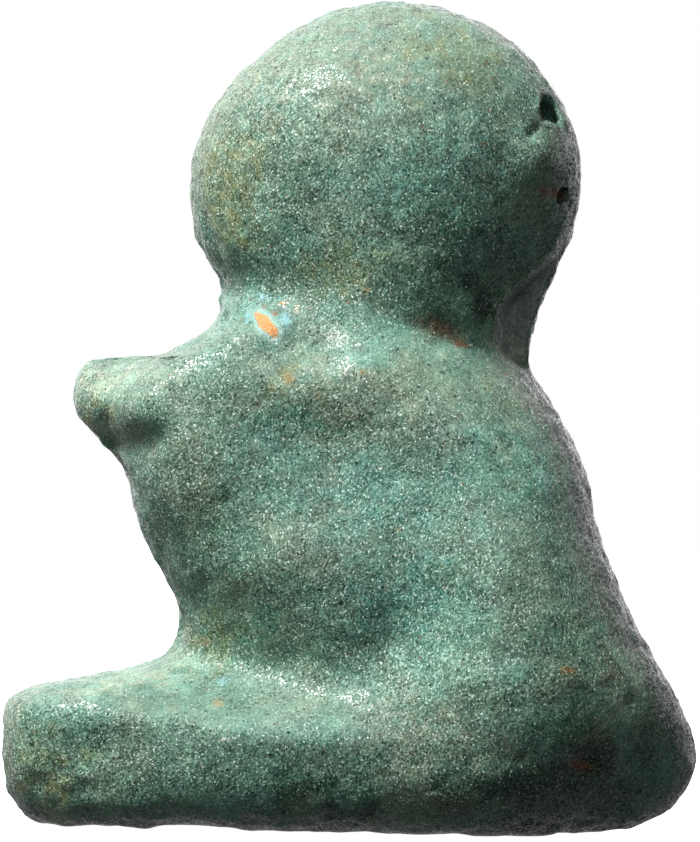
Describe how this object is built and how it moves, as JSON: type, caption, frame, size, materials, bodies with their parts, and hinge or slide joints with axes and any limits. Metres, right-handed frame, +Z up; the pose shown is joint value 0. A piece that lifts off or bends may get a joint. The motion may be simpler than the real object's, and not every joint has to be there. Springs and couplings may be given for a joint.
{
  "type": "falcon amulet with a sun disc",
  "caption": "Small solid glazed-faience falcon amulet in profile, with a large domed sun disc on its head and a long flat foot it stands on.",
  "frame": {"origin": "the middle of the figure's box on the flat underside of the foot", "axes": "+Z up through the sun disc, +X towards the tail so that the beak points to -X, +Y through the thickness away from the side with the clearer relief"},
  "size_m": [0.0182, 0.0088, 0.0219],
  "materials": {
    "faience": "worn blue-green copper glaze over sintered quartz grain, half gloss, with brown specks and stains"
  },
  "bodies": {
    "root": {"horus_amulet": "faience"}
  },
  "joints": []
}
